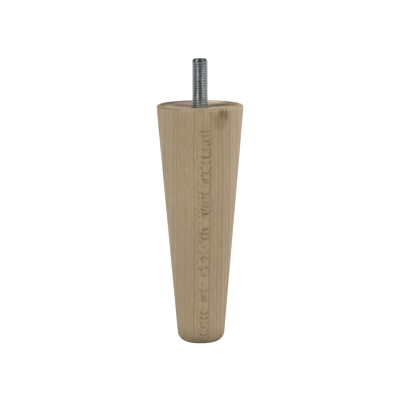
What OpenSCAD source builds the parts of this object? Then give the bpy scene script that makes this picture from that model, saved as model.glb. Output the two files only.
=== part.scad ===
// Round tapered furniture leg with a threaded stud.
// A turned beech leg stands on its rounded foot. Its top is turned hollow, so that only the rim
// bears on the furniture, and a steel hanger bolt is screwed down its centre: machine thread
// above, coarse wood thread in the pilot hole. Z is up and the foot's centre is the origin.

/* [Leg] */
// Height from the foot to the rim of the top
leg_h = 150; // [90:1:300]
// Diameter where the straight side would meet the plane of the rim
top_d = 54.5; // [44:0.5:80]
// Diameter where the straight side would meet the floor
foot_d = 28.5; // [20:0.5:60]
// Radius of the turned rounding round the rim
rim_round = 1.6; // [0.4:0.1:3]
// Radius of the turned rounding round the foot
foot_round = 6.6; // [1:0.2:9]

/* [Hollow top] */
// Width of the flat land left on the rim
rim_land = 0.6; // [0.2:0.1:5]
// Depth of the hollow below the rim, in the middle
hollow_depth = 1.8; // [1.4:0.1:4]
// How far the floor of the hollow rises from the middle to the wall
dish_rise = 0.6; // [0.1:0.1:1]
// Radius of the rounding between the floor and the wall of the hollow
cove_round = 1; // [0.2:0.1:1.4]

/* [Hanger bolt] */
// Outside diameter of the machine thread
stud_d = 10; // [8.5:0.5:12]
// Length of the machine thread above the floor of the hollow
stud_l = 30.5; // [15:0.5:60]
// Size of the chamfer on the tip of the machine thread
tip_chamfer = 1.4; // [0.3:0.1:2]
// How far the plain neck lies under the outside of the machine thread, all round
neck_under = 0.5; // [0.2:0.05:1]
// Height of the neck above the floor of the hollow
neck_rise = 1.2; // [0.5:0.1:4]
// Length of the neck below the floor of the hollow
neck_drop = 3; // [2:0.5:6]
// Depth of the bolt's point below the floor of the hollow
buried_l = 42; // [30:1:60]

/* [Wood thread] */
// Diameter of the core that carries the wood thread
core_d = 7; // [5:0.1:7.3]
// Outside diameter of the wood thread
wood_d = 9.8; // [8:0.1:11]
// Rise of the wood thread in one turn
wood_pitch = 4.5; // [3:0.1:6]
// Thickness of the wood thread at its root
wood_root = 1.8; // [1:0.1:2.5]
// Length of the tapered point
point_l = 7; // [4:0.5:10]

/* [Pilot hole] */
// Clearance between the bolt's wood thread and the wood, all round
bolt_clear = 0.05; // [0.02:0.01:0.3]
// Clearance for the wood thread where it passes the mouth of the hole, all round
mouth_clear = 0.3; // [0.1:0.05:1]
// Width of the bevel round the mouth of the hole
mouth_bevel = 0.8; // [0.2:0.1:2]
// Width of the level ring round the bevel
mouth_level = 1; // [0.3:0.1:3]
// Depth of the pilot hole past the bolt's point
drill_spare = 3; // [1:0.5:8]
// Angle of the drill's point
drill_angle = 118; // [90:1:140]

/* [Hidden] */
$fn = 96;

// How far each cut runs past the face that it opens
over = 1;
// How far the root of the wood thread is sunk into the core
root_sink = 0.4;
// Radius of the blunt end of the bolt's point
blunt_r = 0.4;
// Steps along each round corner, and along one turn of the wood thread
arc_steps = 16;
turn_steps = 24;

// The straight side leans out by this much on its way up
lean = atan2(top_d - foot_d, 2 * leg_h);
// Height of the hollow's floor, and of the ends of the bolt
floor_z = leg_h - hollow_depth;
tip_z = floor_z + stud_l;
point_z = floor_z - buried_l;
// Radius of the straight side at a height
function side_r(z) = foot_d / 2 + z * tan(lean);
// Centre of a rounding that touches the straight side at a height
function round_centre(z, r) = [side_r(z) - r / cos(lean), z];
// Points along a round corner, from one direction to another
function arc(centre, r, from, to) =
    [for (i = [0:arc_steps]) centre + r * [cos(from + (to - from) * i / arc_steps),
                                           sin(from + (to - from) * i / arc_steps)]];

rim_centre = round_centre(leg_h - rim_round, rim_round);
foot_centre = round_centre(foot_round, foot_round);
// The floor is level round the hole and slopes up to the wall, with a rounding that touches both
hollow_r = rim_centre[0] - rim_land;
mouth_r = wood_d / 2 + mouth_clear;
level_r = mouth_r + mouth_bevel + mouth_level;
dish_slope = atan2(dish_rise, hollow_r - level_r);
wall_h = hollow_depth - dish_rise;
cove_r = min(cove_round, wall_h);
cove_centre = [hollow_r - cove_r, leg_h - wall_h + cove_r * (1 / cos(dish_slope) - tan(dish_slope))];

// The right-hand wood thread starts where the point reaches the core and ends under the neck
thread_z = point_z + point_l;
thread_l = floor_z - neck_drop - wood_root - thread_z;
thread_steps = floor(thread_l / wood_pitch * turn_steps);
run_out_steps = turn_steps / 2;
// Smallest share of the thread's height, at the ends of its run-out
run_out_share = 0.08;

// Helical ridge of the wood thread; a cutter for it is larger all round by grow
module wood_thread(grow = 0) {
    root_r = core_d / 2 - root_sink;
    function share(i) = max(run_out_share, min(1, i / run_out_steps, (thread_steps - i) / run_out_steps));
    function place(i, r, dz) = [r * cos(360 * i / turn_steps), r * sin(360 * i / turn_steps),
                                thread_z + wood_pitch * i / turn_steps + dz];
    crest = wood_d / 2 - root_r;
    rings = [for (i = [0:thread_steps]) each [
        place(i, root_r, wood_root / 2 * share(i) + grow),
        place(i, root_r + crest * share(i) + grow, 0),
        place(i, root_r, -wood_root / 2 * share(i) - grow),
    ]];
    sides = [for (i = [0:thread_steps - 1], k = [0:2])
        let (a = 3 * i + k, b = 3 * i + (k + 1) % 3)
        each [[a, b + 3, b], [a, a + 3, b + 3]]];
    last = 3 * thread_steps;
    polyhedron(rings, concat([[0, 1, 2]], sides, [[last + 2, last + 1, last]]));
}

// Turned beech body with its hollow top and its pilot hole
module leg() {
    color("tan") difference() {
        rotate_extrude()
            polygon(concat(
                [[0, 0]],
                arc(foot_centre, foot_round, -90, -lean),
                arc(rim_centre, rim_round, -lean, 90),
                [[hollow_r, leg_h]],
                arc(cove_centre, cove_r, 0, dish_slope - 90),
                [[level_r, floor_z], [0, floor_z]]));
        pilot_hole();
        wood_thread(bolt_clear);
    }
}

// Drilled hole: bevelled mouth, room for the neck, core bore and the cone that the drill leaves
module pilot_hole() {
    core_r = core_d / 2 + bolt_clear;
    bottom = point_z - drill_spare;
    rotate_extrude()
        polygon([
            [0, bottom - core_r / tan(drill_angle / 2)],
            [core_r, bottom],
            [core_r, floor_z - neck_drop - bolt_clear],
            [mouth_r, floor_z - neck_drop - bolt_clear],
            [mouth_r, floor_z - mouth_bevel],
            [mouth_r + mouth_bevel, floor_z],
            [mouth_r + mouth_bevel, floor_z + over],
            [0, floor_z + over]]);
}

// Steel bolt with a machine thread, a plain neck and a wood thread that ends in a point
module hanger_bolt() {
    stud_r = stud_d / 2;
    neck_r = stud_r - neck_under;
    core_r = core_d / 2;
    color("lightsteelblue") union() {
        rotate_extrude()
            polygon([
                [0, point_z],
                [blunt_r, point_z],
                [core_r, point_z + point_l],
                [core_r, floor_z - neck_drop],
                [neck_r, floor_z - neck_drop],
                [neck_r, floor_z + neck_rise - neck_under],
                [stud_r, floor_z + neck_rise],
                [stud_r, tip_z - tip_chamfer],
                [stud_r - tip_chamfer, tip_z],
                [0, tip_z]]);
        wood_thread();
    }
}

leg();
hanger_bolt();
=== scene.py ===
"""Studio scene of a turned beech furniture leg with a hanger bolt in its hollow top.

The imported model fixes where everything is. The wood is turned here from its half section, the bolt
is swept along its two threads, and each is dressed with a solid pattern in real millimetres.
"""

import logging
import math
from collections.abc import Callable
from dataclasses import dataclass, field
from enum import Enum

import bmesh
import bpy
from mathutils import Matrix, Vector


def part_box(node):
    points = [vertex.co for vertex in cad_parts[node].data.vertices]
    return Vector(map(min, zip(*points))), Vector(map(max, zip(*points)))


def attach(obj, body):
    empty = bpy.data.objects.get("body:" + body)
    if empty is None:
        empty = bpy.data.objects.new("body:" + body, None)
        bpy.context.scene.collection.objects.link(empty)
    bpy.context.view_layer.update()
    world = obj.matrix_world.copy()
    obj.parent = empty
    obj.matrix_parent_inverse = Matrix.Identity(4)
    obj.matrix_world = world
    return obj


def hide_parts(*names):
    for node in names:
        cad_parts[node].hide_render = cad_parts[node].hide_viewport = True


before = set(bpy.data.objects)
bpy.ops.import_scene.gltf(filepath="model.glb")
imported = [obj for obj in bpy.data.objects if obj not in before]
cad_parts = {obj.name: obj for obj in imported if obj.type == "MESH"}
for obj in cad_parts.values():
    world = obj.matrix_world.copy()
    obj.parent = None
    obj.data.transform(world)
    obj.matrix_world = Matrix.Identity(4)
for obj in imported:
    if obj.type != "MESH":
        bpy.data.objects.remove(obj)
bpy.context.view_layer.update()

Socket = bpy.types.NodeSocket
Tree = bpy.types.NodeTree
Mesh = bmesh.types.BMesh
Pair = tuple[float, float]
Triple = tuple[float, float, float]

LOG = logging.getLogger("furniture_leg")
MM = 0.001
UP = Vector((0.0, 0.0, 1.0))
AXIS_POINT = Vector((0.0, 0.0, 0.0))
QUARTER_TURN = math.pi / 2.0
FULL_TURN = 2.0 * math.pi
# Keeps what lies in a level plane and drops the height
LEVEL = (1.0, 1.0, 0.0)
WHITE = "#FFFFFF"
# Strength at which a white backdrop has no grey left in it
CLEAR_WHITE = 1.1
# Stretches of a noise's values that are spread over a whole result: most of them, fewer, fewer still
WIDE = (0.25, 0.75)
MIDDLE = (0.3, 0.7)
TIGHT = (0.35, 0.65)
# How far apart two points may be and still count as one
TURNED_SLACK = 0.002 * MM
THREAD_SLACK = 0.004 * MM
CUT_SLACK = 0.0005 * MM
EDGE_SLACK = 0.001 * MM
TIP_SLACK = 0.01 * MM


class CadNode(Enum):
    """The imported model's nodes."""

    LEG = "leg"
    BOLT = "hanger_bolt"


class Slot(Enum):
    """The record's material slots."""

    BEECH = "beech"
    ZINC_STEEL = "zinc_steel"


def linear(hex_colour: str) -> tuple[float, float, float, float]:
    """Turn an sRGB colour into the linear one that a shader takes.

    Args:
        hex_colour: Colour as six hex digits after a leading mark.

    Returns:
        Linear red, green and blue, and full opacity.
    """
    digits = hex_colour.lstrip("#")
    shares = [int(digits[i:i + 2], 16) / 255.0 for i in (0, 2, 4)]
    red, green, blue = (c / 12.92 if c <= 0.04045 else ((c + 0.055) / 1.055) ** 2.4 for c in shares)
    return red, green, blue, 1.0


def add_node(tree: Tree, kind: str, inputs: dict[int | str, object], **options: object) -> Socket | None:
    """Add a node with its settings and links.

    Args:
        tree: Node tree that gets it.
        kind: Blender's name for the type of node.
        inputs: What goes into each input, by name or number: a socket to link, or a value.
        **options: The node's own settings.

    Returns:
        The node's first output that is in use, if it has one.
    """
    node = tree.nodes.new(kind)
    for name, value in options.items():
        setattr(node, name, value)
    for key, value in inputs.items():
        if isinstance(value, Socket):
            tree.links.new(value, node.inputs[key])
        else:
            node.inputs[key].default_value = value
    return next((socket for socket in node.outputs if socket.enabled), None)


def new_material(name: str) -> tuple[bpy.types.Material, Tree]:
    """Start an empty node material.

    Args:
        name: Name of the finish.

    Returns:
        The material and its node tree.
    """
    material = bpy.data.materials.new(name)
    material.use_nodes = True
    material.node_tree.nodes.clear()
    return material, material.node_tree


class Pattern:
    """The steps of a solid pattern, one method for each kind of node that the finishes use."""

    def __init__(self, tree: Tree) -> None:
        """Work in a node tree."""
        self.tree = tree

    def point(self) -> Socket:
        """Give the place on the piece in millimetres."""
        place = add_node(self.tree, "ShaderNodeTexCoord", {}).node.outputs["Object"]
        return self.scale(place, 1.0 / MM)

    def math(self, operation: str, first: Socket | float, second: Socket | float = 0.0) -> Socket:
        """Take one step of arithmetic."""
        return add_node(self.tree, "ShaderNodeMath", {0: first, 1: second}, operation=operation)

    def vector(self, operation: str, first: Socket, second: Socket | Triple = LEVEL) -> Socket:
        """Take one step of vector arithmetic, which gives a number where it measures.

        Args:
            operation: Blender's name for the step.
            first: Vector that it starts from.
            second: Vector that it is combined with, where the step takes two.

        Returns:
            The vector, or the length or the product.
        """
        inputs = {0: first, 1: second}
        result = add_node(self.tree, "ShaderNodeVectorMath", inputs, operation=operation)
        return result.node.outputs["Value"] if operation in ("LENGTH", "DOT_PRODUCT") else result

    def scale(self, vector: Socket, factor: Socket | float) -> Socket:
        """Multiply a vector or a colour by a number."""
        inputs = {0: vector, "Scale": factor}
        return add_node(self.tree, "ShaderNodeVectorMath", inputs, operation="SCALE")

    def parts(self, vector: Socket) -> list[Socket]:
        """Split a vector into X, Y and Z."""
        return list(add_node(self.tree, "ShaderNodeSeparateXYZ", {0: vector}).node.outputs)

    def ramp(
        self, value: Socket, start: float, end: float, low: Socket | float = 0.0,
        high: Socket | float = 1.0, **options: object,
    ) -> Socket:
        """Turn start to end into low to high in a straight line, and hold those outside it."""
        return add_node(self.tree, "ShaderNodeMapRange", {
            "Value": value, "From Min": start, "From Max": end, "To Min": low, "To Max": high,
        }, **options)

    def ease(self, value: Socket, *limits: Socket | float) -> Socket:
        """Do what ramp does, with a soft start and end."""
        return self.ramp(value, *limits, interpolation_type="SMOOTHSTEP")

    def mix(
        self, share: Socket | float, first: Socket | str, second: Socket | str, blend: str = "MIX",
    ) -> Socket:
        """Blend two colours.

        Args:
            share: Share of the second one.
            first: Colour, as a socket or in hex.
            second: Colour, as a socket or in hex.
            blend: Blender's name for the way to blend them.

        Returns:
            The colour.
        """
        first, second = (linear(c) if isinstance(c, str) else c for c in (first, second))
        inputs = {0: share, 6: first, 7: second}
        return add_node(self.tree, "ShaderNodeMix", inputs, data_type="RGBA", blend_type=blend)

    def noise(self, place: Socket, scale: Triple, detail: float, rough: float = 0.5) -> Socket:
        """Fill space with clouds, so many per millimetre along X, Y and Z, and finer layers on top."""
        return add_node(self.tree, "ShaderNodeTexNoise", {
            "Vector": self.vector("MULTIPLY", place, scale), "Scale": 1.0, "Detail": detail,
            "Roughness": rough,
        })

    def shifts(self, place: Socket, scale: Triple, detail: float) -> Socket:
        """Give three independent clouds as one vector, each of them from 0 to 1."""
        return self.noise(place, scale, detail).node.outputs["Color"]

    def drift(self, place: Socket, scale: float, detail: float) -> Socket:
        """Vary a value along a line, with so many swings per millimetre and finer layers on top."""
        return add_node(self.tree, "ShaderNodeTexNoise", {
            "W": self.math("MULTIPLY", place, scale), "Scale": 1.0, "Detail": detail,
        }, noise_dimensions="1D")


def as_object(name: str, mesh: Mesh) -> bpy.types.Object:
    """Make an object of a finished mesh.

    Args:
        name: Name of the object.
        mesh: Its shape, in metres and in place. It is freed.

    Returns:
        The new object, at the origin.
    """
    data = bpy.data.meshes.new(name)
    mesh.to_mesh(data)
    mesh.free()
    made = bpy.data.objects.new(name, data)
    bpy.context.scene.collection.objects.link(made)
    return made


def mark_sharp(mesh: Mesh, limit: float) -> None:
    """Shade a mesh smooth but for the edges where its faces meet at more than an angle.

    Args:
        mesh: Mesh to mark.
        limit: Least angle of a sharp edge.
    """
    for face in mesh.faces:
        face.smooth = True
    for edge in mesh.edges:
        edge.smooth = not edge.is_manifold or edge.calc_face_angle() < limit


def rim_edges(mesh: Mesh, height: float, slack: float = EDGE_SLACK) -> list[bmesh.types.BMEdge]:
    """Find the open edges that lie at a height, or off it by no more than some slack."""
    return [
        edge for edge in mesh.edges
        if edge.is_boundary and all(abs(vert.co.z - height) < slack for vert in edge.verts)
    ]


class TurnedOutline:
    """Half section of a turned piece, drawn in the XZ plane and then spun about the Z axis."""

    def __init__(self, height: float) -> None:
        """Start on the axis at a height."""
        self.mesh = bmesh.new()
        self.tip = self.mesh.verts.new((0.0, 0.0, height))

    def line_to(self, radius: float, height: float, rows: int = 1) -> None:
        """Draw a straight line on to a point.

        Args:
            radius: Distance of the point from the axis.
            height: Height of the point.
            rows: Equal lengths that the line is cut into.
        """
        start = self.tip.co.copy()
        end = Vector((radius, 0.0, height))
        for row in range(1, rows + 1):
            grown = bmesh.ops.extrude_vert_indiv(self.mesh, verts=[self.tip])
            self.tip = grown["verts"][0]
            self.tip.co = start.lerp(end, row / rows)

    def arc_about(self, radius: float, height: float, angle: float, steps: int) -> None:
        """Draw an arc on from the tip.

        Args:
            radius: Distance of the arc's centre from the axis.
            height: Height of the arc's centre.
            angle: Angle it sweeps, from outwards to upwards where that is positive.
            steps: Lengths that the arc is cut into.
        """
        swept = bmesh.ops.spin(
            self.mesh, geom=[self.tip], cent=(radius, 0.0, height), axis=(0.0, -1.0, 0.0),
            angle=angle, steps=steps, use_merge=False, use_duplicate=False,
        )
        self.tip = next(e for e in swept["geom_last"] if isinstance(e, bmesh.types.BMVert))

    def turn(self, around: int) -> Mesh:
        """Spin the section about the axis.

        Args:
            around: Faces round the piece.

        Returns:
            The closed mesh.
        """
        bmesh.ops.spin(
            self.mesh, geom=self.mesh.verts[:] + self.mesh.edges[:], cent=AXIS_POINT, axis=UP,
            angle=FULL_TURN, steps=around, use_merge=True, use_duplicate=False,
        )
        bmesh.ops.remove_doubles(self.mesh, verts=self.mesh.verts, dist=TURNED_SLACK)
        bmesh.ops.recalc_face_normals(self.mesh, faces=self.mesh.faces)
        return self.mesh


@dataclass(frozen=True)
class ThreadForm:
    """Section of a right-hand thread over one turn.

    Attributes:
        pitch: Rise in one turn.
        outer_r: Radius of the crest.
        root_r: Radius of the root.
        crest_w: Width of the flat on the crest.
        root_w: Width of the flat at the root.
        soften: Width of the rounding that rolling leaves on each corner.
        around: Faces in one turn.
    """

    pitch: float
    outer_r: float
    root_r: float
    crest_w: float
    root_w: float
    soften: float
    around: int

    def section(self, height: float) -> Mesh:
        """Draw one turn's section in the XZ plane.

        Args:
            height: Height of the lower end, in the middle of a root.

        Returns:
            The section as a wire.
        """
        flank = (self.pitch - self.root_w - self.crest_w) / 2.0
        wire = bmesh.new()
        tip = wire.verts.new((self.root_r, 0.0, height))
        corners = []
        for radius, rise in (
            (self.root_r, self.root_w / 2.0),
            (self.outer_r, flank),
            (self.outer_r, self.crest_w),
            (self.root_r, flank),
            (self.root_r, self.root_w / 2.0),
        ):
            height += rise
            tip = bmesh.ops.extrude_vert_indiv(wire, verts=[tip])["verts"][0]
            tip.co = (radius, 0.0, height)
            corners.append(tip)
        bmesh.ops.bevel(
            wire, geom=corners[:-1], offset=self.soften, offset_type="OFFSET", segments=3,
            affect="VERTICES", profile=0.5, material=-1,
        )
        return wire

    def sweep(self, low: float, high: float, root_z: float) -> Mesh:
        """Wind the section up the Z axis and trim it square at both ends.

        One turn is wound and then stacked, so that each turn is the same.

        Args:
            low: Height of the lower end.
            high: Height of the upper end.
            root_z: Height of a root's middle on the +X side.

        Returns:
            A shell that is open at both ends.
        """
        first = root_z - math.ceil((root_z - low) / self.pitch + 1.0) * self.pitch
        shell = self.section(first)
        bmesh.ops.spin(
            shell, geom=shell.verts[:] + shell.edges[:], cent=AXIS_POINT, axis=UP,
            dvec=(0.0, 0.0, self.pitch / self.around), angle=FULL_TURN,
            steps=self.around, use_merge=False, use_duplicate=False,
        )
        one_turn = bpy.data.meshes.new("one_turn")
        shell.to_mesh(one_turn)
        for _ in range(math.ceil((high - first) / self.pitch)):
            bmesh.ops.translate(shell, vec=(0.0, 0.0, self.pitch), verts=shell.verts)
            shell.from_mesh(one_turn)
        bpy.data.meshes.remove(one_turn)
        bmesh.ops.remove_doubles(shell, verts=shell.verts, dist=THREAD_SLACK)
        for height, keep_above in ((low, True), (high, False)):
            bmesh.ops.bisect_plane(
                shell, geom=shell.verts[:] + shell.edges[:] + shell.faces[:], dist=CUT_SLACK,
                plane_co=(0.0, 0.0, height), plane_no=UP,
                clear_inner=keep_above, clear_outer=not keep_above,
            )
        return shell


@dataclass(frozen=True)
class StainAndShade:
    """A dark brown patch, in millimetres: real staining in some places, painted shadow and shade in
    others.

    Attributes:
        centre: Its middle.
        reach: How far it reaches along X, Y and Z.
        depth: Share of the patch's colour in its middle.
    """

    centre: Triple
    reach: Triple
    depth: float
    solid_core: float = 0.25

    def mask(self, pattern: Pattern, point: Socket) -> Socket:
        """Measure how strongly the stain shows at a point.

        Args:
            pattern: Pattern of the wood.
            point: Place in millimetres.

        Returns:
            Nothing outside the patch, and its depth in the middle.
        """
        offset = pattern.vector("SUBTRACT", point, self.centre)
        distance = pattern.vector("LENGTH", pattern.vector("DIVIDE", offset, self.reach))
        return pattern.ease(distance, self.solid_core, 1.0, self.depth, 0.0)


@dataclass(frozen=True)
class YearRings:
    """Year rings round a pith that lies far to the right of the leg, in millimetres.

    Attributes:
        pith: Middle of the tree.
        year: Width of one year's wood.
        sway_scale: How fast the rings sway along X, Y and Z.
        sway: How far they sway.
        wander_scale: How fast the width of the years drifts.
        late: Shares of the year at which the late wood sets in and is full.
        strength: Late wood's strength in the faintest and the strongest year.
        band_scale: How fast the broader bands change.
        bands: Least and most that the bands add.
    """

    pith: Triple = (349.5, 18.9, 0.0)
    year: float = 2.5
    sway_scale: Triple = (0.05, 0.05, 0.016)
    sway: Triple = (2.6, 0.6, 0.0)
    wander_scale: float = 0.23
    late: Pair = (0.35, 0.92)
    strength: Pair = (0.2, 0.65)
    band_scale: float = 0.9
    bands: Pair = (-0.05, 0.18)

    def lay(self, pattern: Pattern, point: Socket) -> tuple[Socket, Socket, Socket]:
        """Lay the rings round the pith.

        Args:
            pattern: Pattern of the wood.
            point: Place in millimetres.

        Returns:
            Share of late wood, distance from the pith and place along the ring, both in millimetres.
        """
        sway = pattern.shifts(point, self.sway_scale, 2.0)
        sway = pattern.vector("MULTIPLY", pattern.vector("SUBTRACT", sway, (0.5, 0.5, 0.5)), self.sway)
        moved = pattern.vector("ADD", pattern.vector("SUBTRACT", point, self.pith), sway)
        radius = pattern.vector("LENGTH", pattern.vector("MULTIPLY", moved, LEVEL))
        x, y, _ = pattern.parts(moved)
        angle = pattern.math("ARCTAN2", y, pattern.math("MULTIPLY", x, -1.0))
        along = pattern.math("MULTIPLY", angle, self.pith[0])
        years = pattern.math("DIVIDE", radius, self.year)
        years = pattern.math("ADD", years, pattern.drift(radius, self.wander_scale, 1.0))
        late = pattern.ease(pattern.math("FRACT", years), *self.late)
        weather = add_node(pattern.tree, "ShaderNodeTexWhiteNoise", {
            "W": pattern.math("FLOOR", years),
        }, noise_dimensions="1D")
        late = pattern.math("MULTIPLY", late, pattern.ramp(weather, 0.0, 1.0, *self.strength))
        bands = pattern.ramp(pattern.drift(radius, self.band_scale, 2.0), *MIDDLE, *self.bands)
        late = pattern.math("ADD", late, bands)
        late.node.use_clamp = True
        return late, radius, along

    def outward(self, pattern: Pattern, point: Socket) -> Socket:
        """Give the level direction from the pith to a point."""
        offset = pattern.vector("SUBTRACT", point, self.pith)
        return pattern.vector("NORMALIZE", pattern.vector("MULTIPLY", offset, LEVEL))


@dataclass(frozen=True)
class RayFlecks:
    """Ray plates: thin upright sheets of cells that run straight out from the pith.

    The round surface cuts most of them end on, as fine ticks. Where it just grazes them they open
    up into a column of dark bars and arcs.

    Attributes:
        grazing: Shares of end-on cut at which the flecks are widest open and all closed.
        closed: How much still shows of a closed fleck.
        cell_scale: Plates per millimetre along the ring, up the tree and out from the pith.
        shift: How far the pattern is moved up the tree, in millimetres.
        bend_scale: How fast the plates bend along X, Y and Z.
        bend: How far they bend, in plates.
        gather_scale: How fast dense and sparse stretches follow each other up the tree.
        gather: Strength of the flecks in sparse and dense stretches.
        clear_mm: Heights between which the flecks fade towards the rim.
        clear: Strength of the flecks above them.
        plate: Distances from a plate's middle at which it is solid and gone, in plates.
        strength: Share of the ray's colour in a plate's middle.
    """

    grazing: Pair = (0.09, 0.24)
    closed: float = 0.13
    cell_scale: Triple = (4.0, 0.36, 0.07)
    shift: float = 131.0
    bend_scale: Triple = (0.3, 0.3, 0.13)
    bend: Triple = (0.3, 0.45, 0.3)
    gather_scale: float = 0.09
    gather: Pair = (0.3, 1.1)
    clear_mm: Pair = (135.0, 143.0)
    clear: float = 0.45
    plate: Pair = (0.2, 0.58)
    strength: float = 0.95

    def mask(self, pattern: Pattern, place: "Place", radius: Socket, along: Socket) -> Socket:
        """Measure how strongly a ray shows at a point.

        Args:
            pattern: Pattern of the wood.
            place: The point and its surface.
            radius: Distance from the pith in millimetres.
            along: Place along the ring in millimetres.

        Returns:
            Share of the ray's colour.
        """
        cells = add_node(pattern.tree, "ShaderNodeCombineXYZ", {
            0: along, 1: pattern.math("ADD", place.height, self.shift), 2: radius,
        })
        cells = pattern.vector("MULTIPLY", cells, self.cell_scale)
        bend = pattern.vector("MULTIPLY", pattern.shifts(place.point, self.bend_scale, 1.0), self.bend)
        cells = pattern.vector("ADD", cells, bend)
        plates = add_node(pattern.tree, "ShaderNodeTexVoronoi", {"Vector": cells, "Scale": 1.0})
        rays = pattern.ease(plates, *self.plate, self.strength, 0.0)
        open_share = pattern.ease(place.end_on, *self.grazing, 1.0, self.closed)
        gather = pattern.ramp(pattern.drift(place.height, self.gather_scale, 2.0), *TIGHT, *self.gather)
        clear = pattern.ease(place.height, *self.clear_mm, 1.0, self.clear)
        rays = pattern.math("MULTIPLY", rays, open_share)
        return pattern.math("MULTIPLY", rays, pattern.math("MULTIPLY", gather, clear))


@dataclass(frozen=True)
class Place:
    """What the wood's pattern knows about a point on its surface.

    Attributes:
        point: Where it is, in millimetres.
        across: Its X, in millimetres.
        height: Its Z, in millimetres.
        tilt: How far the surface faces straight up or down, from 0 to 1.
        facing: How far it faces away from the leg's axis, from -1 to 1.
        end_on: How far it cuts the rays end on, from 0 to 1.
    """

    point: Socket
    across: Socket
    height: Socket
    tilt: Socket
    facing: Socket
    end_on: Socket

    @classmethod
    def read(cls, pattern: Pattern, rings: YearRings) -> "Place":
        """Read the point from the piece.

        Args:
            pattern: Pattern of the wood.
            rings: The tree's rings.

        Returns:
            The point.
        """
        point = pattern.point()
        across, _, height = pattern.parts(point)
        normal = add_node(pattern.tree, "ShaderNodeNewGeometry", {}).node.outputs["True Normal"]
        radial = pattern.vector("NORMALIZE", pattern.vector("MULTIPLY", point, LEVEL))
        end_on = pattern.vector("DOT_PRODUCT", normal, rings.outward(pattern, point))
        return cls(
            point=point,
            across=across,
            height=height,
            tilt=pattern.math("ABSOLUTE", pattern.parts(normal)[2]),
            facing=pattern.vector("DOT_PRODUCT", normal, radial),
            end_on=pattern.math("ABSOLUTE", end_on),
        )


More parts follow.
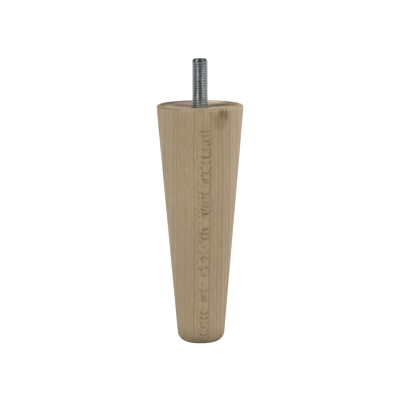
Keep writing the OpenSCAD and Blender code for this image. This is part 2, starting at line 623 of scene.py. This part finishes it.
@dataclass(frozen=True)
class TurnedBeech:
    """Beech turned on a lathe, sanded and left under a thin matt clear coat.

    The pith lies far to the right, so the front is cut along the rays: year rings show as upright
    lines and the rays as a column of bars and arcs, while both sides show nested arcs of the rings.
    The turned hollow bares end grain, which is dull and coloured greyer, partly as painted sheen of its
    lit parts. The rim's rounding carries painted shade, stronger on the left, and the hollow's wall
    painted shade on the left and painted light on the right. Two streaks under the rim are brown
    staining; right of the bolt the same brown is partly staining and partly painted shadow, left of it
    painted shadow, and on the left-back wall and rim painted shade. The foot carries painted shade
    towards the floor.

    Attributes:
        early: Colour of early wood.
        late: Colour of late wood.
        ray: Colour of the rays.
        stain_and_shade: Colour of the brown patches, both staining and painted shadow and shade.
        end_grain: Colour of the end grain on the left, greyer partly as painted sheen of its lit parts.
        pale_end: Colour of the end grain on the right.
        green_cast: One end of the wood's slow change of hue.
        pink_cast: The other end.
        end_share: Share of end grain's colour on the hollow's floor.
        wall_share: Share of it on the hollow's wall.
        end_tilt: Tilts between which a cut turns into end grain.
        wall_facing: Facings between which a cut turns into the hollow's wall.
        edge_from: Tilts between which the rim's rounding sets in.
        edge_to: Tilts between which it ends in the land.
        edge_mm: Height above which a rounding counts as the rim's.
        edge_shade_tones: Tone of the painted shade on the rim's rounding, left and right.
        edge_sides_mm: X between which it changes from left to right.
        wall_shade_and_light_tones: Painted shade on the hollow's wall on the left and painted light on
            its right.
        sides_mm: X between which the hollow changes from left to right.
        foot_shade_tone: Tone of the painted shade on the foot near the floor.
        foot_mm: Heights between which it fades out.
        fibre_scale: Fibres per millimetre along X, Y and Z.
        fibre_tones: Tone of the darkest and the lightest fibre.
        slow_scale: How fast the tone drifts along X, Y and Z.
        slow_tones: Least and most that it drifts to.
        cast_scale: How fast the hue drifts.
    """

    name: str = "turned_beech_matt_coat"
    early: str = "#AD9775"
    late: str = "#8C7654"
    ray: str = "#775F3F"
    stain_and_shade: str = "#5C4200"
    end_grain: str = "#958B7E"
    pale_end: str = "#A39788"
    green_cast: str = "#FEFFFC"
    pink_cast: str = "#FFFDFE"
    end_share: float = 0.62
    wall_share: float = 0.8
    end_tilt: Pair = (0.75, 0.97)
    wall_facing: Pair = (-0.02, -0.35)
    edge_from: Pair = (0.08, 0.35)
    edge_to: Pair = (0.9, 0.995)
    edge_mm: float = 141.0
    edge_shade_tones: Pair = (0.56, 0.92)
    edge_sides_mm: Pair = (9.5, 14.0)
    wall_shade_and_light_tones: Pair = (0.58, 1.1)
    sides_mm: Pair = (-8.0, 8.0)
    foot_shade_tone: float = 0.83
    foot_mm: Pair = (6.0, 13.0)
    fibre_scale: Triple = (1.1, 1.1, 0.16)
    fibre_tones: Pair = (0.88, 1.12)
    slow_scale: Triple = (0.05, 0.05, 0.02)
    slow_tones: Pair = (0.95, 1.05)
    cast_scale: Triple = (0.11, 0.11, 0.022)
    side_gloss: float = 0.5
    end_gloss: float = 0.08
    rough: Pair = (0.5, 0.62)
    coat_rough: float = 0.38
    pore_strength: float = 0.35
    pore_depth: float = 0.05 * MM
    rings: YearRings = YearRings()
    rays: RayFlecks = RayFlecks()
    stains_and_shades: tuple[StainAndShade, ...] = (
        # Brown staining in two streaks under the rim at the right front.
        StainAndShade((13.2, -23.0, 147.6), (2.3, 4.0, 5.4), 0.64),
        StainAndShade((15.9, -21.0, 146.6), (1.9, 4.0, 5.8), 0.7),
        StainAndShade((12.2, -23.0, 143.4), (7.5, 8.0, 10.0), 0.36),
        # Right of the bolt: partly brown staining, partly painted shadow of the bolt.
        StainAndShade((15.0, 8.5, 148.3), (17.0, 9.5, 3.0), 0.62),
        # Left of the bolt: painted shadow of the bolt.
        StainAndShade((-11.0, 8.5, 148.3), (13.0, 9.0, 2.5), 0.38),
        # Left-back wall and rim: painted shade.
        StainAndShade((-24.5, 7.0, 149.3), (5.5, 7.0, 2.2), 0.62),
        StainAndShade((-9.5, 23.0, 149.3), (6.0, 4.0, 1.8), 0.35),
    )

    def grain(self, pattern: Pattern, place: Place, fibre: Socket) -> Socket:
        """Colour the wood itself: rings, rays, fibres and a slow change of tone and hue.

        Args:
            pattern: Pattern of the wood.
            place: The point and its surface.
            fibre: How dense the fibres are.

        Returns:
            The colour.
        """
        late, radius, along = self.rings.lay(pattern, place.point)
        colour = pattern.mix(late, self.early, self.late)
        colour = pattern.mix(self.rays.mask(pattern, place, radius, along), colour, self.ray)
        tone = pattern.ramp(fibre, *WIDE, *self.fibre_tones)
        slow = pattern.ramp(pattern.noise(place.point, self.slow_scale, 2.0), *MIDDLE, *self.slow_tones)
        colour = pattern.scale(colour, pattern.math("MULTIPLY", tone, slow))
        cast = pattern.ramp(pattern.noise(place.point, self.cast_scale, 1.0), *TIGHT)
        cast = pattern.mix(cast, self.green_cast, self.pink_cast)
        return pattern.mix(1.0, colour, cast, blend="MULTIPLY")

    def turned_top(
        self, pattern: Pattern, place: Place, colour: Socket, end_grain: Socket,
    ) -> Socket:
        """Bare the end grain, and paint shade on the rim's rounding, the foot and the hollow's wall's
        left and light on its right.

        Args:
            pattern: Pattern of the wood.
            place: The point and its surface.
            colour: Colour of the wood.
            end_grain: Share of end grain in the cut.

        Returns:
            The colour.
        """
        # End grain's colour is greyed partly as painted sheen of its lit parts.
        side = pattern.ease(place.across, *self.sides_mm)
        inward = pattern.ease(place.facing, *self.wall_facing)
        share = pattern.math(
            "MAXIMUM", pattern.math("MULTIPLY", end_grain, self.end_share),
            pattern.math("MULTIPLY", inward, self.wall_share),
        )
        colour = pattern.mix(share, colour, pattern.mix(side, self.end_grain, self.pale_end))

        # Painted shade on the rim's rounding, stronger on the left than on the right.
        rounding = pattern.math(
            "MULTIPLY", pattern.ease(place.tilt, *self.edge_from),
            pattern.ease(place.tilt, *self.edge_to, 1.0, 0.0),
        )
        for only in (
            pattern.math("GREATER_THAN", place.height, self.edge_mm),
            pattern.math("GREATER_THAN", place.facing, 0.0),
        ):
            rounding = pattern.math("MULTIPLY", rounding, only)
        edge = pattern.ease(place.across, *self.edge_sides_mm, *self.edge_shade_tones)
        colour = pattern.scale(colour, pattern.ramp(rounding, 0.0, 1.0, 1.0, edge))
        # Painted shade on the foot, darker towards the floor.
        colour = pattern.scale(colour, pattern.ease(place.height, *self.foot_mm, self.foot_shade_tone, 1.0))
        # Painted shade on the left of the hollow's wall and painted light on its right.
        wall = pattern.ramp(side, 0.0, 1.0, *self.wall_shade_and_light_tones)
        return pattern.scale(colour, pattern.ramp(inward, 0.0, 1.0, 1.0, wall))

    def build(self) -> bpy.types.Material:
        """Make the material.

        Returns:
            The material.
        """
        material, tree = new_material(self.name)
        pattern = Pattern(tree)
        place = Place.read(pattern, self.rings)
        fibre = pattern.noise(place.point, self.fibre_scale, 3.0, rough=0.6)
        end_grain = pattern.ease(place.tilt, *self.end_tilt)
        colour = self.grain(pattern, place, fibre)
        colour = self.turned_top(pattern, place, colour, end_grain)
        # Lay the brown patches: staining, and painted shadow and shade.
        for stain_and_shade in self.stains_and_shades:
            colour = pattern.mix(stain_and_shade.mask(pattern, place.point), colour, self.stain_and_shade)
        gloss = pattern.ramp(end_grain, 0.0, 1.0, self.side_gloss, self.end_gloss)
        pores = add_node(tree, "ShaderNodeBump", {
            "Height": fibre, "Strength": self.pore_strength, "Distance": self.pore_depth,
        })
        shader = add_node(tree, "ShaderNodeBsdfPrincipled", {
            "Base Color": colour,
            "Roughness": pattern.ramp(fibre, *MIDDLE, *self.rough),
            "Normal": pores,
            "Specular IOR Level": gloss,
            "Coat Weight": gloss,
            "Coat Roughness": self.coat_rough,
        })
        add_node(tree, "ShaderNodeOutputMaterial", {"Surface": shader})
        return material


@dataclass(frozen=True)
class ZincPlatedSteel:
    """Cold-rolled steel thread with bright zinc plating.

    Rolling burnishes the crests, so they mirror the studio in upright streaks. The roots are coloured
    darker and duller, partly as duller plating and partly as painted shade of the grooves.

    Attributes:
        crest: Colour of the crests and the plain parts.
        root: Colour of the roots, partly painted shade of the grooves.
        edge_tint: Tint of what the metal mirrors at its edges.
        groove_mm: Radii at which the thread's groove begins and is full.
        thread_mm: Heights between which the machine thread's groove is coloured.
        crest_rough: Roughness of the crests.
        root_rough: Roughness of the roots.
    """

    name: str = "zinc_plated_rolled_steel"
    crest: str = "#CED4D6"
    root: str = "#4A5458"
    edge_tint: str = "#808080"
    groove_mm: Pair = (4.9, 4.4)
    thread_mm: Pair = (149.4, 177.2)
    crest_rough: float = 0.16
    root_rough: float = 0.28

    def build(self) -> bpy.types.Material:
        """Make the material.

        Returns:
            The material.
        """
        material, tree = new_material(self.name)
        pattern = Pattern(tree)
        point = pattern.point()
        radius = pattern.vector("LENGTH", pattern.vector("MULTIPLY", point, LEVEL))
        height = pattern.parts(point)[2]
        groove = pattern.ease(radius, *self.groove_mm)
        for operation, limit in zip(("GREATER_THAN", "LESS_THAN"), self.thread_mm):
            groove = pattern.math("MULTIPLY", groove, pattern.math(operation, height, limit))
        shader = add_node(tree, "ShaderNodeBsdfPrincipled", {
            # The roots' darker colour is partly painted shade of the grooves.
            "Base Color": pattern.mix(groove, self.crest, self.root),
            "Metallic": 1.0,
            "Specular Tint": linear(self.edge_tint),
            "Roughness": pattern.ramp(groove, 0.0, 1.0, self.crest_rough, self.root_rough),
        })
        add_node(tree, "ShaderNodeOutputMaterial", {"Surface": shader})
        return material


@dataclass
class TurnedLeg:
    """The beech leg: straight taper, rounded foot, small rounding at the rim, hollow top, pilot hole.

    Attributes:
        bore: The bolt, whose sizes the pilot hole follows.
        top_r: Radius where the straight side would meet the plane of the rim.
        foot_r: Radius where it would meet the floor.
        dish_rise: How far the hollow's floor rises from the middle to the wall.
        mouth_clear: Room round the wood thread where it passes the mouth of the hole.
        mouth_bevel: Width of the bevel round the mouth.
        mouth_level: Width of the level ring round the bevel.
        soft_edge: Rounding that sanding leaves on the inner edge of the land.
        sharp_angle: Angle from which an edge of the wood counts as sharp.
        height: Height of the wood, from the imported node.
    """

    bore: "HangerBolt"
    top_r: float = 27.25 * MM
    foot_r: float = 14.25 * MM
    rim_round: float = 1.6 * MM
    foot_round: float = 6.6 * MM
    rim_land: float = 0.6 * MM
    hollow_depth: float = 1.8 * MM
    dish_rise: float = 0.6 * MM
    cove_round: float = 1.0 * MM
    mouth_clear: float = 0.3 * MM
    mouth_bevel: float = 0.8 * MM
    mouth_level: float = 1.0 * MM
    drill_spare: float = 3.0 * MM
    drill_half_angle: float = math.radians(59.0)
    soft_edge: float = 0.2 * MM
    sharp_angle: float = math.radians(35.0)
    side_rows: int = 48
    floor_rows: int = 8
    foot_rows: int = 3
    foot_steps: int = 16
    rim_steps: int = 10
    cove_steps: int = 8
    edge_steps: int = 4
    around: int = 192
    height: float = field(init=False)

    def __post_init__(self) -> None:
        """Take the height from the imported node."""
        self.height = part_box(CadNode.LEG.value)[1].z

    @property
    def lean(self) -> float:
        """Angle by which the side leans out on its way up."""
        return math.atan2(self.top_r - self.foot_r, self.height)

    def rounding(self, height: float, radius: float) -> Vector:
        """Find the centre of a rounding that touches the straight side, as radius and height."""
        side = self.foot_r + height * math.tan(self.lean)
        return Vector((side - radius / math.cos(self.lean), height))

    def draw_side(self, line: TurnedOutline) -> float:
        """Draw the underside, the foot, the side, the rim and its land.

        Args:
            line: Outline that has been started at the middle of the foot.

        Returns:
            Radius of the hollow, where the land ends.
        """
        foot = self.rounding(self.foot_round, self.foot_round)
        rim = self.rounding(self.height - self.rim_round, self.rim_round)
        hollow_r = rim.x - self.rim_land
        line.line_to(foot.x, 0.0, rows=self.foot_rows)
        line.arc_about(foot.x, foot.y, QUARTER_TURN - self.lean, self.foot_steps)
        line.line_to(
            rim.x + self.rim_round * math.cos(self.lean),
            rim.y - self.rim_round * math.sin(self.lean),
            rows=self.side_rows,
        )
        line.arc_about(rim.x, rim.y, QUARTER_TURN + self.lean, self.rim_steps)
        line.line_to(hollow_r + self.soft_edge, self.height)
        line.arc_about(
            hollow_r + self.soft_edge, self.height - self.soft_edge, QUARTER_TURN, self.edge_steps,
        )
        return hollow_r

    def draw_hollow(self, line: TurnedOutline, hollow_r: float) -> None:
        """Draw the hollow's wall, cove and floor and the pilot hole.

        Args:
            line: Outline that has reached the inner edge of the land.
            hollow_r: Radius of the hollow.
        """
        floor_z = self.height - self.hollow_depth
        mouth_r = self.bore.wood_r + self.mouth_clear
        level_r = mouth_r + self.mouth_bevel + self.mouth_level
        slope = math.atan2(self.dish_rise, hollow_r - level_r)
        lift = self.cove_round * (1.0 / math.cos(slope) - math.tan(slope))
        cove_z = floor_z + self.dish_rise + lift
        core_r = self.bore.core_r + self.bore.clearance
        shoulder_z = floor_z - self.bore.neck_drop - self.bore.clearance
        bottom = self.bore.point_z - self.drill_spare
        line.line_to(hollow_r, cove_z)
        line.arc_about(hollow_r - self.cove_round, cove_z, slope - QUARTER_TURN, self.cove_steps)
        line.line_to(level_r, floor_z, rows=self.floor_rows)
        line.line_to(mouth_r + self.mouth_bevel, floor_z)
        line.line_to(mouth_r, floor_z - self.mouth_bevel)
        line.line_to(mouth_r, shoulder_z)
        line.line_to(core_r, shoulder_z)
        line.line_to(core_r, bottom)
        line.line_to(0.0, bottom - core_r / math.tan(self.drill_half_angle))

    def build(self) -> bpy.types.Object:
        """Turn the leg.

        Returns:
            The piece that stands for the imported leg.
        """
        line = TurnedOutline(0.0)
        self.draw_hollow(line, self.draw_side(line))
        mesh = line.turn(self.around)
        mark_sharp(mesh, self.sharp_angle)
        piece = as_object("turned_leg", mesh)
        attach(piece, "root")
        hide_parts(CadNode.LEG.value)
        return piece

    def dress(self, piece: bpy.types.Object) -> None:
        """Finish the leg in beech."""
        piece.data.materials.append(TurnedBeech().build())


@dataclass
class HangerBolt:
    """The steel bolt: machine thread above, plain neck, wood thread and point in the leg.

    Attributes:
        stud_l: Length of the machine thread above the floor of the hollow.
        neck_under: How far the neck lies under the outside of the machine thread.
        neck_rise: Height of the neck above the floor of the hollow.
        neck_drop: Length of the neck below it.
        run_out: Height over which the machine thread fades in from the neck.
        wood_root: Thickness of the wood thread at its root.
        clearance: Room round the bolt in the pilot hole.
        sharp_angle: Angle from which an edge of the steel counts as sharp.
        point_z: Height of the point's end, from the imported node.
        tip_z: Height of the stud's tip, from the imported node.
    """

    stud_r: float = 5.0 * MM
    stud_l: float = 30.5 * MM
    tip_chamfer: float = 1.4 * MM
    neck_under: float = 0.5 * MM
    neck_rise: float = 1.2 * MM
    neck_drop: float = 3.0 * MM
    run_out: float = 1.5 * MM
    core_r: float = 3.5 * MM
    wood_r: float = 4.9 * MM
    wood_root: float = 1.8 * MM
    point_l: float = 7.0 * MM
    blunt_r: float = 0.4 * MM
    clearance: float = 0.05 * MM
    sharp_angle: float = math.radians(50.0)
    machine: ThreadForm = ThreadForm(
        pitch=1.5 * MM, outer_r=5.0 * MM, root_r=4.1 * MM, crest_w=0.46 * MM, root_w=0.24 * MM,
        soften=0.1 * MM, around=96,
    )
    coarse: ThreadForm = ThreadForm(
        pitch=4.5 * MM, outer_r=4.9 * MM, root_r=3.5 * MM, crest_w=0.12 * MM, root_w=2.7 * MM,
        soften=0.05 * MM, around=72,
    )
    point_z: float = field(init=False)
    tip_z: float = field(init=False)

    def __post_init__(self) -> None:
        """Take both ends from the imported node."""
        low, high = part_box(CadNode.BOLT.value)
        self.point_z = low.z
        self.tip_z = high.z

    @property
    def neck_r(self) -> float:
        """Radius of the plain neck."""
        return self.stud_r - self.neck_under

    @property
    def floor_z(self) -> float:
        """Height of the hollow's floor, where the machine thread's length is measured from."""
        return self.tip_z - self.stud_l

    @property
    def neck_top(self) -> float:
        """Height at which the neck meets the machine thread."""
        return self.floor_z + self.neck_rise - self.neck_under

    @property
    def core_top(self) -> float:
        """Height at which the wood thread's core meets the neck."""
        return self.floor_z - self.neck_drop - self.wood_root / 2.0

    @staticmethod
    def reshape(shell: Mesh, radius_at: Callable[[float, float], float]) -> None:
        """Move each vertex of a thread to another radius.

        Args:
            shell: The thread.
            radius_at: Gives the new radius from the old one and the height.
        """
        for vert in shell.verts:
            radius = math.hypot(vert.co.x, vert.co.y)
            share = radius_at(radius, vert.co.z) / radius
            vert.co.x *= share
            vert.co.y *= share

    @staticmethod
    def add_stretch(mesh: Mesh, start: float, end: float, radius: float) -> None:
        """Draw the open end of a shell out to another height and radius.

        Args:
            mesh: The shell.
            start: Height of its open end.
            end: Height of the new end.
            radius: Radius of the new end.
        """
        grown = bmesh.ops.extrude_edge_only(mesh, edges=rim_edges(mesh, start))
        for vert in (item for item in grown["geom"] if isinstance(item, bmesh.types.BMVert)):
            share = radius / math.hypot(vert.co.x, vert.co.y)
            vert.co = (vert.co.x * share, vert.co.y * share, end)

    def machine_thread(self) -> Mesh:
        """Roll the machine thread, with its run-out at the neck and its chamfered tip.

        Returns:
            The shell, closed at the tip and open at the neck.
        """
        low = self.neck_top
        shell = self.machine.sweep(low, self.tip_z, low)

        def radius_at(radius: float, height: float) -> float:
            """Fade the thread in from the neck and keep it inside the chamfer."""
            share = min(1.0, max(0.0, (height - low) / self.run_out))
            faded = self.neck_r + (radius - self.neck_r) * share
            return min(faded, self.stud_r - (height - self.tip_z + self.tip_chamfer))

        self.reshape(shell, radius_at)
        bmesh.ops.edgeloop_fill(shell, edges=rim_edges(shell, self.tip_z, TIP_SLACK))
        return shell

    def wood_thread(self) -> Mesh:
        """Cut the coarse thread, which rises out of the core and sinks back at both ends.

        Returns:
            The shell, open at both ends.
        """
        low = self.point_z + self.point_l
        high = self.core_top
        fade = self.coarse.pitch / 2.0
        flat_share = 0.2
        shell = self.coarse.sweep(low, high, low + fade)

        def radius_at(radius: float, height: float) -> float:
            """Sink the ridge into the core at both ends."""
            from_end = min((height - low) / fade, (high - height) / fade) - flat_share
            return self.core_r + (radius - self.core_r) * max(0.0, min(1.0, from_end))

        self.reshape(shell, radius_at)
        return shell

    def build(self) -> bpy.types.Object:
        """Make the bolt, from the tip down to the point.

        Returns:
            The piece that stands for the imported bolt.
        """
        mesh = self.machine_thread()
        neck_foot = self.floor_z - self.neck_drop
        self.add_stretch(mesh, self.neck_top, neck_foot, self.neck_r)
        self.add_stretch(mesh, neck_foot, neck_foot, self.core_r)
        wood = bpy.data.meshes.new("wood_thread")
        coarse = self.wood_thread()
        coarse.to_mesh(wood)
        coarse.free()
        mesh.from_mesh(wood)
        bpy.data.meshes.remove(wood)
        loops = rim_edges(mesh, neck_foot) + rim_edges(mesh, self.core_top)
        bmesh.ops.bridge_loops(mesh, edges=loops)
        self.add_stretch(mesh, self.point_z + self.point_l, self.point_z, self.blunt_r)
        bmesh.ops.edgeloop_fill(mesh, edges=rim_edges(mesh, self.point_z))
        bmesh.ops.recalc_face_normals(mesh, faces=mesh.faces)
        mark_sharp(mesh, self.sharp_angle)
        piece = as_object("threaded_bolt", mesh)
        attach(piece, "root")
        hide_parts(CadNode.BOLT.value)
        return piece

    def dress(self, piece: bpy.types.Object) -> None:
        """Finish the bolt in bright zinc."""
        piece.data.materials.append(ZincPlatedSteel().build())


@dataclass(frozen=True)
class SoftLight:
    """A soft white light that faces the object.

    Attributes:
        name: What it does.
        azimuth: Degrees to the right of the camera's side of the object.
        elevation: Degrees above the horizon.
        width: Width of its face.
        height: Height of its face.
        power: Watts.
        distance: Distance from the middle of the object.
    """

    name: str
    azimuth: float
    elevation: float
    width: float
    height: float
    power: float
    distance: float = 2.4

    @classmethod
    def wall(cls, name: str, azimuth: float, power: float, elevation: float = 6.0) -> "SoftLight":
        """Light one panel of the studio's wall, low down and wide."""
        return cls(name, azimuth, elevation, 0.9, 1.2, power)

    def build(self, target: Vector) -> None:
        """Hang the light.

        Args:
            target: Point that it faces.
        """
        lamp = bpy.data.lights.new(self.name, "AREA")
        lamp.shape = "RECTANGLE"
        lamp.size = self.width
        lamp.size_y = self.height
        lamp.energy = self.power
        holder = bpy.data.objects.new(self.name, lamp)
        side = math.radians(self.azimuth)
        rise = math.radians(self.elevation)
        away = Vector((
            math.sin(side) * math.cos(rise), -math.cos(side) * math.cos(rise), math.sin(rise),
        ))
        holder.location = target + away * self.distance
        holder.rotation_mode = "QUATERNION"
        holder.rotation_quaternion = away.to_track_quat("Z", "Y")
        bpy.context.scene.collection.objects.link(holder)


@dataclass
class Studio:
    """Pale floor, soft lights, a dim room with low lit walls, and the camera of the photograph.

    Attributes:
        target: Point that the camera and the lights face.
        distance: Distance of the camera from it.
        frame_px: Width of the photograph in pixels.
        focal_px: Focal length in pixels.
        sensor: Width of the sensor in millimetres.
        pitch: Angle by which the camera looks down.
        centre_px: Where the target lies in the photograph, in pixels from its top left.
        roll: Angle by which the camera is tilted sideways.
        table_r: Radius of the floor.
        table_tone: Colour of the floor as the object mirrors it.
        room_light: Strength of the room's own light.
        lights: The soft lights.
    """

    target: Vector = field(default_factory=lambda: Vector((0.0, 0.0, 85.0 * MM)))
    distance: float = 1.5
    frame_px: float = 400.0
    focal_px: float = 2392.8
    sensor: float = 36.0
    pitch: float = math.radians(8.874)
    centre_px: Pair = (200.45, 207.63)
    roll: float = math.radians(-0.263)
    table_r: float = 0.7
    table_tone: str = "#B8B8B8"
    room_light: float = 0.01
    lights: tuple[SoftLight, ...] = (
        SoftLight("left_softbox", -46.0, 54.0, 0.4, 0.4, 46.0),
        SoftLight("right_softbox", 47.0, 48.0, 0.75, 0.5, 33.0),
        SoftLight("right_fill", 60.0, 35.0, 0.6, 0.6, 6.0),
        SoftLight("top_left_card", -100.0, 61.0, 0.6, 0.6, 1.6),
        SoftLight("top_right_card", 100.0, 61.0, 0.6, 0.6, 1.1),
        SoftLight.wall("wall_back", 180.0, 2.0, elevation=8.0),
        SoftLight.wall("wall_left_rear", -150.0, 4.5),
        SoftLight.wall("wall_left_back", -120.0, 3.0),
        SoftLight.wall("wall_left_side", -95.0, 7.5),
        SoftLight.wall("wall_left_front", -46.0, 4.5),
        SoftLight.wall("wall_front", 36.0, 1.0),
        SoftLight.wall("wall_right_front", 70.0, 6.5),
        SoftLight.wall("wall_right_side", 95.0, 4.5),
        SoftLight.wall("wall_right_back", 120.0, 12.0),
        SoftLight.wall("wall_right_rear", 150.0, 4.0),
    )

    def build_floor(self) -> None:
        """Lay the table top: a grey sheet that the object mirrors, which the camera sees as clear white.
        """
        mesh = bmesh.new()
        bmesh.ops.create_circle(mesh, cap_ends=True, segments=96, radius=self.table_r)
        floor = as_object("studio_floor", mesh)
        material, tree = new_material("white_opal_table")
        sheet = add_node(tree, "ShaderNodeBsdfPrincipled", {
            "Base Color": linear(self.table_tone),
            "Roughness": 0.9,
            "Specular IOR Level": 0.0,
        })
        white = add_node(tree, "ShaderNodeEmission", {"Color": linear(WHITE), "Strength": CLEAR_WHITE})
        seen = add_node(tree, "ShaderNodeLightPath", {}).node.outputs["Is Camera Ray"]
        both = add_node(tree, "ShaderNodeMixShader", {0: seen, 1: sheet, 2: white})
        add_node(tree, "ShaderNodeOutputMaterial", {"Surface": both})
        floor.data.materials.append(material)

    def build_world(self) -> None:
        """Surround the set with a dark room that looks white behind the object."""
        world = bpy.data.worlds.new("studio_room")
        world.use_nodes = True
        tree = world.node_tree
        tree.nodes.clear()
        dim, white = (
            add_node(tree, "ShaderNodeBackground", {"Color": linear(WHITE), "Strength": strength})
            for strength in (self.room_light, CLEAR_WHITE)
        )
        seen = add_node(tree, "ShaderNodeLightPath", {}).node.outputs["Is Camera Ray"]
        both = add_node(tree, "ShaderNodeMixShader", {0: seen, 1: dim, 2: white})
        add_node(tree, "ShaderNodeOutputWorld", {"Surface": both})
        bpy.context.scene.world = world

    def build_camera(self) -> None:
        """Set the camera where the photograph was taken from."""
        lens = bpy.data.cameras.new("photo_camera")
        lens.sensor_width = self.sensor
        lens.lens = self.focal_px / self.frame_px * self.sensor
        lens.clip_end = 50.0
        camera = bpy.data.objects.new("photo_camera", lens)
        middle = self.frame_px / 2.0
        yaw, lift = ((centre - middle) / self.focal_px for centre in self.centre_px)
        camera.location = self.target + self.distance * Vector(
            (0.0, -math.cos(self.pitch), math.sin(self.pitch))
        )
        turn = (
            Matrix.Rotation(yaw, 3, "Z")
            @ Matrix.Rotation(QUARTER_TURN - self.pitch + lift, 3, "X")
            @ Matrix.Rotation(self.roll, 3, "Z")
        )
        camera.rotation_mode = "QUATERNION"
        camera.rotation_quaternion = turn.to_quaternion()
        bpy.context.scene.collection.objects.link(camera)
        bpy.context.scene.camera = camera

    def build(self) -> None:
        """Put up the whole set."""
        self.build_floor()
        self.build_world()
        for light in self.lights:
            light.build(self.target)
        self.build_camera()
        bpy.context.scene.view_settings.view_transform = "Standard"


def main() -> None:
    """Build the set and the leg, and report each piece."""
    logging.basicConfig(level=logging.INFO, format="%(message)s")
    Studio().build()
    bolt = HangerBolt()
    for part in (bolt, TurnedLeg(bore=bolt)):
        piece = part.build()
        part.dress(piece)
        LOG.info("%s: %d faces", piece.name, len(piece.data.polygons))


if __name__ == "__main__":
    main()
